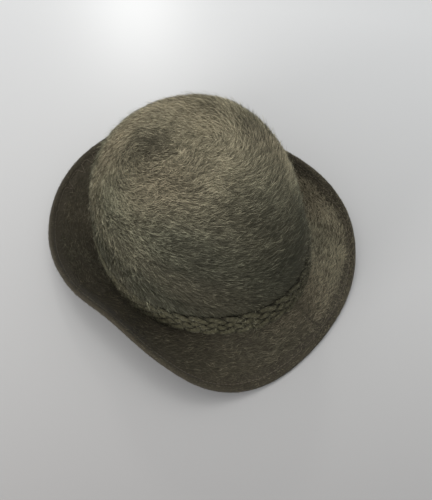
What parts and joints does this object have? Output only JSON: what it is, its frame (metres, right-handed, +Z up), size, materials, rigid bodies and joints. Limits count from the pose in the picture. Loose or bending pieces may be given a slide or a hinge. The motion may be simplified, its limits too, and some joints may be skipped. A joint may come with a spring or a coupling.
{
  "type": "cloche hat",
  "caption": "Round-crowned hat of long-haired felt, its brim dipped in front and turned up at the sides and back, with a flat plaited band round the foot of the crown.",
  "frame": {"origin": "on the surface the hat rests on, under the middle of its outer box", "axes": "+Z up from the surface, the hat's front towards -Y, the wearer's left towards +X"},
  "size_m": [0.233, 0.2938, 0.1631],
  "materials": {
    "long_haired_felt": "long-haired brushed fur felt, olive brown with grey-beige tips",
    "plaited_cord": "plaited wool cord, dark olive brown"
  },
  "bodies": {
    "root": {"felt_body": "long_haired_felt", "braided_band": "plaited_cord"}
  },
  "joints": []
}
